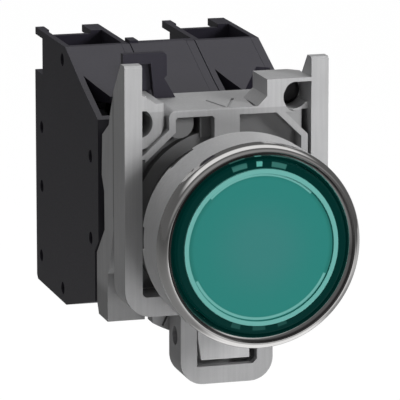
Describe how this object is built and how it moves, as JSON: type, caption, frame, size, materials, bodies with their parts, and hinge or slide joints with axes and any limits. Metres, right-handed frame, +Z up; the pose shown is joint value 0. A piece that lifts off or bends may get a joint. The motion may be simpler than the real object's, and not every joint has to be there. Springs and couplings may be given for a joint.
{
  "type": "illuminated push button",
  "caption": "Round illuminated push button with a chrome bezel and green lens, a fixing collar with a release latch behind the panel gap, and a lamp module between two contact blocks.",
  "frame": {"origin": "on the button's axis, in the plane where the fixing collar bears on the back of the panel", "axes": "+X to the right, +Y back along the button's axis into the panel, +Z up"},
  "size_m": [0.03, 0.0695, 0.0467],
  "materials": {
    "satin_zinc": "satin",
    "satin_chrome": "satin",
    "polished_chrome": "polished",
    "rubber": "matte",
    "green_lens": "gloss",
    "white_plastic": "matte",
    "grey_plastic": "matte",
    "black_plastic": "matte",
    "steel": "zinc plated",
    "brass": "satin",
    "green_led": "gloss",
    "circuit_board": "matte"
  },
  "bodies": {
    "base": {"head_body": "satin_chrome", "bezel_ring": "polished_chrome", "panel_gasket": "rubber", "return_spring": "steel", "fixing_collar": "satin_zinc", "clamp_screw": "steel", "latch_spring": "steel", "light_module_housing": "black_plastic", "light_module_cover": "black_plastic", "light_module_clip": "black_plastic", "light_module_terminal_screws": "steel", "light_module_terminal_clamps": "steel", "light_module_terminal_strips": "brass", "led_lamp": "green_led", "led_board": "circuit_board", "left_block_housing": "black_plastic", "left_block_cover": "black_plastic", "left_block_plunger_spring": "steel", "left_block_bridge_spring": "steel", "left_block_fixed_contacts": "brass", "left_block_terminal_screws": "steel", "left_block_terminal_clamps": "steel", "right_block_housing": "black_plastic", "right_block_cover": "black_plastic", "right_block_plunger_spring": "steel", "right_block_bridge_spring": "steel", "right_block_fixed_contacts": "brass", "right_block_terminal_screws": "steel", "right_block_terminal_clamps": "steel"},
    "button": {"lens_cap": "green_lens", "legend_disc": "white_plastic", "lens_carrier": "white_plastic", "carrier_o_ring": "rubber", "stop_ring": "steel"},
    "latch": {"release_latch": "satin_zinc"},
    "left_plunger": {"left_block_plunger": "grey_plastic"},
    "right_plunger": {"right_block_plunger": "grey_plastic"},
    "left_bridge": {"left_block_contact_bridge": "brass"},
    "right_bridge": {"right_block_contact_bridge": "brass"}
  },
  "joints": [
    {"name": "button_press", "type": "slide", "parent": "base", "child": "button", "axis": [0, 1, 0], "range_m": [0, 0.0043], "stiffness_N_per_m": 600, "springref_m": -0.004, "deforming": ["return_spring"]},
    {"name": "left_plunger_slide", "type": "slide", "parent": "base", "child": "left_plunger", "axis": [0, 1, 0], "range_m": [0, 0.0043], "stiffness_N_per_m": 150, "springref_m": -0.003, "deforming": ["left_block_plunger_spring"]},
    {"name": "right_plunger_slide", "type": "slide", "parent": "base", "child": "right_plunger", "axis": [0, 1, 0], "range_m": [0, 0.0043], "stiffness_N_per_m": 150, "springref_m": -0.003, "deforming": ["right_block_plunger_spring"]},
    {"name": "left_bridge_slide", "type": "slide", "parent": "base", "child": "left_bridge", "axis": [0, 1, 0], "range_m": [0, 0.0026], "deforming": ["left_block_bridge_spring"]},
    {"name": "right_bridge_slide", "type": "slide", "parent": "base", "child": "right_bridge", "axis": [0, 1, 0], "range_m": [0, 0.0026], "deforming": ["right_block_bridge_spring"]},
    {"name": "latch_slide", "type": "slide", "parent": "base", "child": "latch", "axis": [0, 0, -1], "range_m": [0, 0.002], "stiffness_N_per_m": 300, "springref_m": -0.002, "deforming": ["latch_spring"]}
  ],
  "couplings": [
    {"joint": "left_plunger_slide", "follows": "button_press", "ratio": 1},
    {"joint": "right_plunger_slide", "follows": "button_press", "ratio": 1},
    {"joint": "left_bridge_slide", "follows": "button_press", "ratio": 0.60465},
    {"joint": "right_bridge_slide", "follows": "button_press", "ratio": 0.60465}
  ]
}
